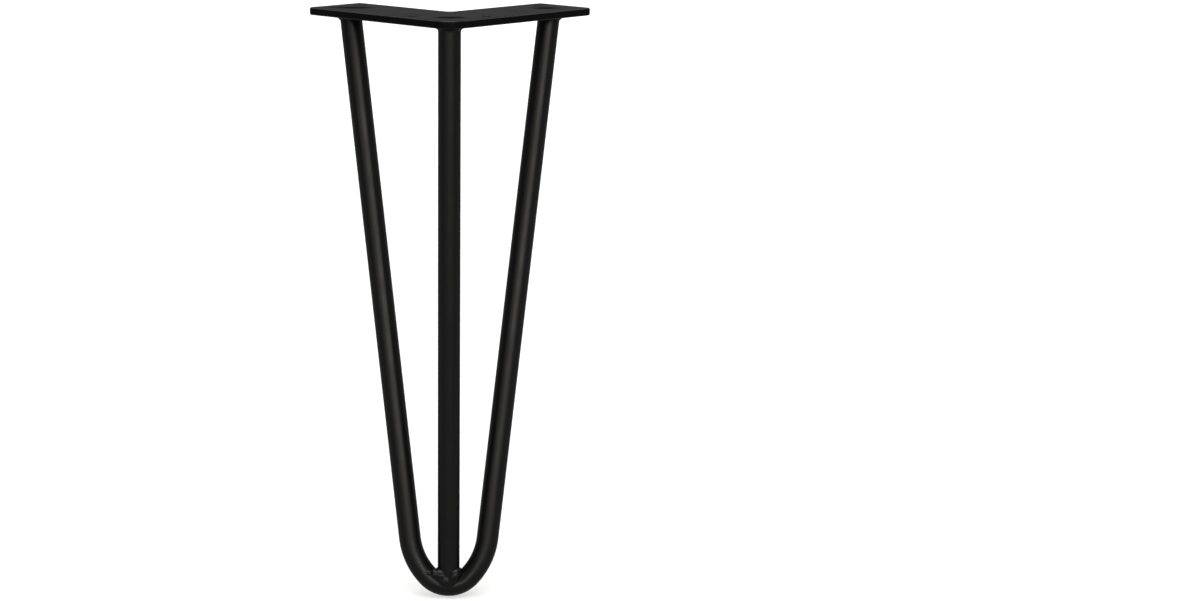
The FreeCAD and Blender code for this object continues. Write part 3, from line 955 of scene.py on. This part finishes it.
@dataclass
class Studio:
    """The white floor, the room's own light and the lamps.

    The floor glows with near_glow out to near_floor from its centre, and with far_glow beyond far_floor.
    """

    floor_level: float
    target: Vector = Vector((0.0, 0.02, -0.16))
    floor_half: float = 30.0
    floor_colour: float = 0.8
    near_floor: float = 0.8
    far_floor: float = 3.5
    near_glow: float = 0.6
    far_glow: float = 0.9
    floor_in_gloss: float = 0.22
    front_level: float = 0.12
    rear_level: float = 0.18
    right_level: float = 0.1
    lamps: tuple[Softbox, ...] = (
        Softbox(
            "top_lamp", azimuth=0.0, elevation=80.0, distance=5.0, width=5.0, height=5.0, radiance=2.2,
        ),
        Softbox(
            "front_lamp", azimuth=16.4, elevation=14.1, distance=8.0, width=6.4, height=1.0, radiance=5.5,
            colour=LampColour.WARM,
        ),
        Softbox(
            "left_fill", azimuth=-20.4, elevation=10.3, distance=8.0, width=6.0, height=1.0, radiance=1.8,
            colour=LampColour.PALE,
        ),
        Softbox(
            "rear_left_lamp", azimuth=-127.0, elevation=42.0, distance=6.0, width=3.0, height=2.4,
            radiance=1.2, colour=LampColour.REAR,
        ),
        Softbox(
            "rear_right_lamp", azimuth=127.0, elevation=42.0, distance=6.0, width=3.0, height=2.4,
            radiance=1.2, colour=LampColour.REAR,
        ),
    )

    def build(self) -> None:
        """Lay the floor, light the room and hang the lamps."""
        self.lay_floor()
        self.light_room()
        for lamp in self.lamps:
            lamp.place(self.target)

    def lay_floor(self) -> None:
        """Lay a floor that is white to the camera and dimmer in the coat's gloss, and keeps a shadow."""
        bm = bmesh.new()
        bmesh.ops.create_grid(bm, x_segments=1, y_segments=1, size=self.floor_half)
        bmesh.ops.translate(bm, verts=bm.verts, vec=(0, 0, self.floor_level))
        mesh = bpy.data.meshes.new("floor")
        bm.to_mesh(mesh)
        bm.free()
        floor = bpy.data.objects.new("floor", mesh)
        bpy.context.scene.collection.objects.link(floor)
        material = bpy.data.materials.new("white_floor")
        shader = ShaderTree(material)
        ray = shader.add("ShaderNodeLightPath").outputs
        seen = shader.maths("MAXIMUM", ray["Is Camera Ray"], ray["Is Transmission Ray"])
        away = shader.length(shader.add("ShaderNodeTexCoord").outputs["Object"])
        glow = shader.ramp(away, self.near_floor, self.far_floor, self.near_glow, self.far_glow)
        paint = shader.add("ShaderNodeBsdfDiffuse", {"Color": (*(self.floor_colour,) * 3, 1.0)})
        light = shader.add("ShaderNodeEmission", {"Strength": shader.maths("MULTIPLY", seen, glow)})
        both = shader.add("ShaderNodeAddShader", {0: paint.outputs[0], 1: light.outputs[0]})
        gloss = shader.add("ShaderNodeEmission", {"Strength": self.floor_in_gloss})
        choice = {0: ray["Is Glossy Ray"], 1: both.outputs[0], 2: gloss.outputs[0]}
        shown = shader.add("ShaderNodeMixShader", choice)
        shader.add("ShaderNodeOutputMaterial", {"Surface": shown.outputs[0]})
        mesh.materials.append(material)

    def light_room(self) -> None:
        """Light the room by direction: dim in front of the leg, and paler behind it and on its right."""
        world = bpy.data.worlds.new("studio_room")
        bpy.context.scene.world = world
        shader = ShaderTree(world)
        facing = shader.add("ShaderNodeTexCoord").outputs["Generated"]
        parts = shader.add("ShaderNodeSeparateXYZ", {"Vector": facing}).outputs
        behind = shader.ramp(parts["Y"], low=-0.1, high=0.9, start=self.front_level, end=self.rear_level)
        beside = shader.ramp(parts["X"], low=0.4, high=0.9, start=0.0, end=self.right_level)
        level = shader.maths("ADD", behind, beside)
        room = shader.add("ShaderNodeBackground", {"Strength": level})
        shader.add("ShaderNodeOutputWorld", {"Surface": room.outputs[0]})


@dataclass(frozen=True)
class PhotoCamera:
    """The photograph's camera: its place, and its turns as worked out from the leg's outline."""

    place: tuple[float, float, float] = (3.2696 * MM, -1043.8945 * MM, 104.1907 * MM)
    yaw: float = 0.002889
    pitch: float = 0.240476
    roll: float = 0.001594
    lens: float = 60.0
    sensor: float = 36.0
    shift_x: float = 0.12535

    def build(self) -> None:
        """Set the camera up."""
        camera = bpy.data.cameras.new("camera")
        camera.lens = self.lens
        camera.sensor_width = self.sensor
        camera.shift_x = self.shift_x
        tripod = bpy.data.objects.new("camera", camera)
        turns = Matrix.Rotation(self.yaw, 4, "Z") @ Matrix.Rotation(math.pi / 2 - self.pitch, 4, "X")
        tripod.matrix_world = Matrix.Translation(self.place) @ turns @ Matrix.Rotation(self.roll, 4, "Z")
        bpy.context.scene.collection.objects.link(tripod)
        bpy.context.scene.camera = tripod


def head_welds(layout: Layout, finish: PowderCoat) -> list[HeadWeld]:
    """The three welds under the plate.

    Args:
        layout: the shared sizes.
        finish: the coat over the welds.

    Returns:
        The even weld round the centre bar, and the ones that are thickest on the outside of the side bars.
    """
    centre_lean = (0.0, math.tan(layout.centre_tilt))
    welds = [HeadWeld(layout, finish, "centre_head_weld", "weld_centre", lean=centre_lean)]
    for side in Side:
        name = side.name.lower()
        welds.append(HeadWeld(
            layout, finish, f"{name}_head_weld", f"weld_{name}",
            head=(side.value * layout.bar_out, layout.bar_out), lean=layout.side_lean(side),
            outwards=0.0 if side is Side.RIGHT else math.pi, shift=2.6 * MM, reach=6 * MM, fall=4.5 * MM,
        ))
    return welds


def main() -> None:
    """Build the leg, its studio and its camera."""
    logging.basicConfig(level=logging.INFO, format="%(name)s: %(message)s")
    scene = bpy.context.scene
    scene.view_settings.view_transform = "Standard"
    layout = Layout()
    marks = (
        HeatMark(place=(-52.7 * MM, 47.3 * MM), half_width=11 * MM),
        HeatMark(place=(0.4 * MM, -4.5 * MM), half_width=7.5 * MM),
        HeatMark(place=(52.0 * MM, 47.6 * MM), half_width=7 * MM),
    )
    cut_coat = PowderCoat("cut_edge_powder_coat", gloss=0.14, roughness=0.45)
    MountingPlate(layout, PowderCoat("plate_powder_coat", heat_marks=marks), cut_coat).build()
    BentBar(layout, PowderCoat("bent_bar_powder_coat")).build()
    CentreBar(layout, PowderCoat("centre_bar_powder_coat")).build()
    weld_coat = PowderCoat("weld_powder_coat", roughness=0.35, peel_depth=0.02 * MM)
    for weld in head_welds(layout, weld_coat):
        weld.build()
    FootBead(layout, weld_coat).build()
    Studio(floor_level=-layout.leg_height).build()
    PhotoCamera().build()


if __name__ == "__main__":
    main()
